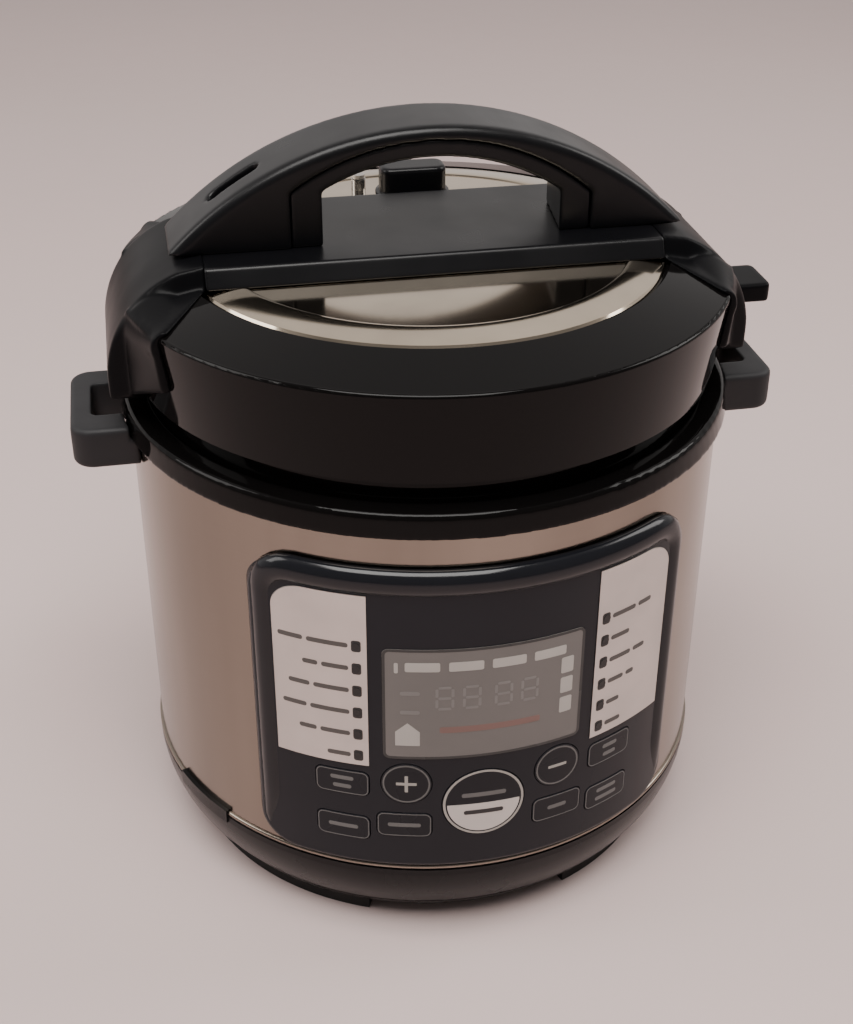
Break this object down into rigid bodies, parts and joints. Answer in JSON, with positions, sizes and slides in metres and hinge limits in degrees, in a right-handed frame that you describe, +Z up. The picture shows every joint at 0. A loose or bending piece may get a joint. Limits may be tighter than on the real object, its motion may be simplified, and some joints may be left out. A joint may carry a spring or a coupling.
{
  "type": "electric pressure cooker",
  "caption": "Round electric pressure cooker with a champagne steel body, curved key panel, glossy black bayonet lid and an arched carrying handle.",
  "frame": {"origin": "on the table under the body's vertical axis", "axes": "+Z up, -Y towards the control panel, +X to the right of someone who faces the panel"},
  "size_m": [0.31, 0.2933, 0.3313],
  "materials": {
    "shell_steel": "satin, champagne tint",
    "plate_metal": "polished, champagne tint",
    "pot_steel": "satin",
    "screw_steel": "plain",
    "heater_metal": "cast",
    "lid_gloss": "high gloss",
    "handle_satin": "satin",
    "base_satin": "satin",
    "lug_matte": "fine grain",
    "panel_gloss": "smooth",
    "key_black": "smooth, pale outline",
    "label_silver": "satin silver",
    "window_grey": "smooth",
    "lamp_dark": "dark lens",
    "valve_black": "satin",
    "rubber_black": "matte",
    "silicone": "translucent white",
    "board_green": "laminate",
    "device_black": "moulded",
    "wire_grey": "insulation",
    "pin_brass": "bright",
    "cup_clear": "clear moulding",
    "sheet_steel": "zinc coated"
  },
  "bodies": {
    "body": {"base_tray": "base_satin", "feet": "rubber_black", "body_screws": "screw_steel", "outer_shell": "shell_steel", "collar_ring": "lid_gloss", "side_handle_left": "lug_matte", "side_handle_right": "lug_matte", "outer_pot": "pot_steel", "spring_plate": "sheet_steel", "heating_plate": "heater_metal", "heating_element": "sheet_steel", "sensor_bracket": "sheet_steel", "sensor_spring": "screw_steel", "pressure_switch": "device_black", "thermal_fuse": "device_black", "power_board": "board_green", "power_board_parts": "device_black", "ribbon_cable": "wire_grey", "inlet_housing": "device_black", "inlet_pins": "pin_brass", "mains_wires": "wire_grey", "panel_bezel": "panel_gloss", "label_plate_left": "label_silver", "label_plate_right": "label_silver", "display_window": "window_grey", "indicator_lights": "lamp_dark", "control_board": "board_green", "display_module": "device_black", "key_membrane": "silicone", "cup_bracket": "device_black"},
    "inner_pot": {"inner_pot": "pot_steel"},
    "sensor": {"sensor_cap": "heater_metal"},
    "cup": {"condensation_cup": "cup_clear"},
    "lid_seal": {"gasket": "silicone"},
    "lid": {"lid_steel": "pot_steel", "lid_cover": "lid_gloss", "lid_plate": "plate_metal", "lid_screws": "screw_steel", "handle_bridge": "handle_satin", "handle_grip": "handle_satin", "handle_liner": "handle_satin", "arm_left": "handle_satin", "arm_right": "handle_satin", "vent_pipe": "screw_steel", "anti_block_cap": "sheet_steel", "float_guide": "screw_steel"},
    "valve": {"valve_knob": "valve_black"},
    "float": {"float_pin": "valve_black", "float_seal": "silicone"},
    "key_plus": {"key_plus": "key_black"},
    "key_minus": {"key_minus": "key_black"},
    "key_centre": {"key_centre": "key_black"},
    "key_left_upper": {"key_left_upper": "key_black"},
    "key_left_lower": {"key_left_lower": "key_black"},
    "key_left_inner": {"key_left_inner": "key_black"},
    "key_right_upper": {"key_right_upper": "key_black"},
    "key_right_lower": {"key_right_lower": "key_black"},
    "key_right_inner": {"key_right_inner": "key_black"}
  },
  "joints": [
    {"name": "lid_lift", "type": "slide", "parent": "body", "child": "lid_seal", "axis": [0, 0, 1], "range_m": [0, 0.36]},
    {"name": "lid_turn", "type": "hinge", "parent": "lid_seal", "child": "lid", "pos_m": [0, 0, 0.23], "axis": [0, 0, 1], "range_deg": [-30, 0]},
    {"name": "pot_lift", "type": "slide", "parent": "body", "child": "inner_pot", "axis": [0, 0, 1], "range_m": [0, 0.198]},
    {"name": "valve_turn", "type": "hinge", "parent": "lid", "child": "valve", "pos_m": [0.006, 0.06, 0.28], "axis": [0, 0, 1], "range_deg": [0, 60]},
    {"name": "float_rise", "type": "slide", "parent": "lid", "child": "float", "axis": [0, 0, 1], "range_m": [0, 0.0045]},
    {"name": "sensor_press", "type": "slide", "parent": "body", "child": "sensor", "axis": [0, 0, 1], "range_m": [-0.002, 0], "stiffness_N_per_m": 800, "springref_m": 0.003, "deforming": ["sensor_spring"]},
    {"name": "cup_pull", "type": "slide", "parent": "body", "child": "cup", "axis": [0, 1, 0], "range_m": [0, 0.06]},
    {"name": "key_plus_press", "type": "slide", "parent": "body", "child": "key_plus", "axis": [0.2402, 0.9707, 0], "range_m": [0, 0.0008], "stiffness_N_per_m": 600, "springref_m": -0.001},
    {"name": "key_minus_press", "type": "slide", "parent": "body", "child": "key_minus", "axis": [-0.2402, 0.9707, 0], "range_m": [0, 0.0008], "stiffness_N_per_m": 600, "springref_m": -0.001},
    {"name": "key_centre_press", "type": "slide", "parent": "body", "child": "key_centre", "axis": [0, 1, 0], "range_m": [0, 0.0008], "stiffness_N_per_m": 600, "springref_m": -0.001},
    {"name": "key_left_upper_press", "type": "slide", "parent": "body", "child": "key_left_upper", "axis": [0.4303, 0.9027, 0], "range_m": [0, 0.0008], "stiffness_N_per_m": 600, "springref_m": -0.001},
    {"name": "key_left_lower_press", "type": "slide", "parent": "body", "child": "key_left_lower", "axis": [0.4303, 0.9027, 0], "range_m": [0, 0.0008], "stiffness_N_per_m": 600, "springref_m": -0.001},
    {"name": "key_left_inner_press", "type": "slide", "parent": "body", "child": "key_left_inner", "axis": [0.2467, 0.9691, 0], "range_m": [0, 0.0008], "stiffness_N_per_m": 600, "springref_m": -0.001},
    {"name": "key_right_upper_press", "type": "slide", "parent": "body", "child": "key_right_upper", "axis": [-0.4303, 0.9027, 0], "range_m": [0, 0.0008], "stiffness_N_per_m": 600, "springref_m": -0.001},
    {"name": "key_right_lower_press", "type": "slide", "parent": "body", "child": "key_right_lower", "axis": [-0.4303, 0.9027, 0], "range_m": [0, 0.0008], "stiffness_N_per_m": 600, "springref_m": -0.001},
    {"name": "key_right_inner_press", "type": "slide", "parent": "body", "child": "key_right_inner", "axis": [-0.2467, 0.9691, 0], "range_m": [0, 0.0008], "stiffness_N_per_m": 600, "springref_m": -0.001}
  ],
  "couplings": [
    {"joint": "pot_lift", "follows": "lid_lift", "ratio": 0.55}
  ]
}
